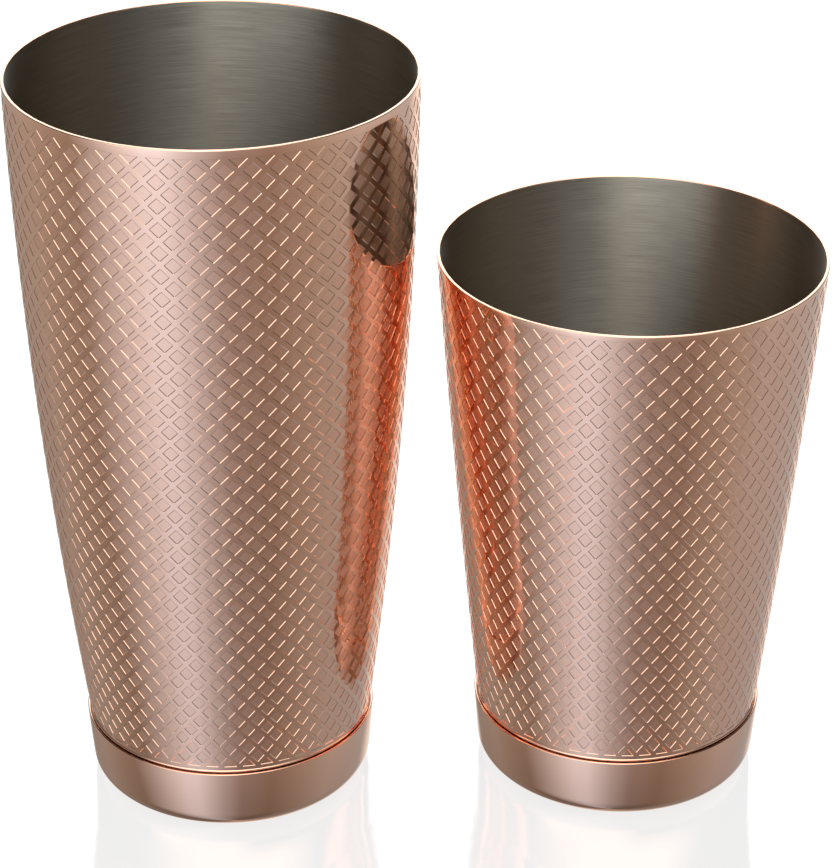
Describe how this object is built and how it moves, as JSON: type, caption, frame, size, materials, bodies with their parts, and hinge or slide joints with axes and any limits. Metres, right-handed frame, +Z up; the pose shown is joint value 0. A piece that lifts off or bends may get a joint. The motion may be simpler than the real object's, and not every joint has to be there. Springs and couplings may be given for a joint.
{
  "type": "cocktail shaker set",
  "caption": "Two-piece weighted cocktail shaker: a tall tin and a shorter tin that nests in it, copper-plated over a pressed diamond lattice, with plain polished base caps.",
  "frame": {"origin": "on the table, at the middle of the footprint of the two tins side by side", "axes": "+X from the large tin to the small tin, +Y to the back, +Z up along both tins' axes"},
  "size_m": [0.1848, 0.0952, 0.1785],
  "materials": {
    "lattice_copper_plate": "copper plate over a pressed lattice, satin bright",
    "polished_copper_plate": "mirror polished copper plate",
    "bare_steel": "brushed stainless steel, circumferential",
    "cured_epoxy": "cured adhesive",
    "seam_sealant": "black sealant"
  },
  "bodies": {
    "large_tin": {"large_tin_body": "lattice_copper_plate", "large_base_cap": "polished_copper_plate", "large_weight_disc": "bare_steel", "large_bond_pad": "cured_epoxy", "large_seam_seal": "seam_sealant"},
    "small_tin": {"small_tin_body": "lattice_copper_plate", "small_base_cap": "polished_copper_plate", "small_weight_disc": "bare_steel", "small_bond_pad": "cured_epoxy", "small_seam_seal": "seam_sealant"}
  },
  "joints": [
    {"name": "small_tin_lift", "type": "slide", "parent": "large_tin", "child": "small_tin", "axis": [0, 0, 1], "range_m": [0, 0.2]}
  ]
}
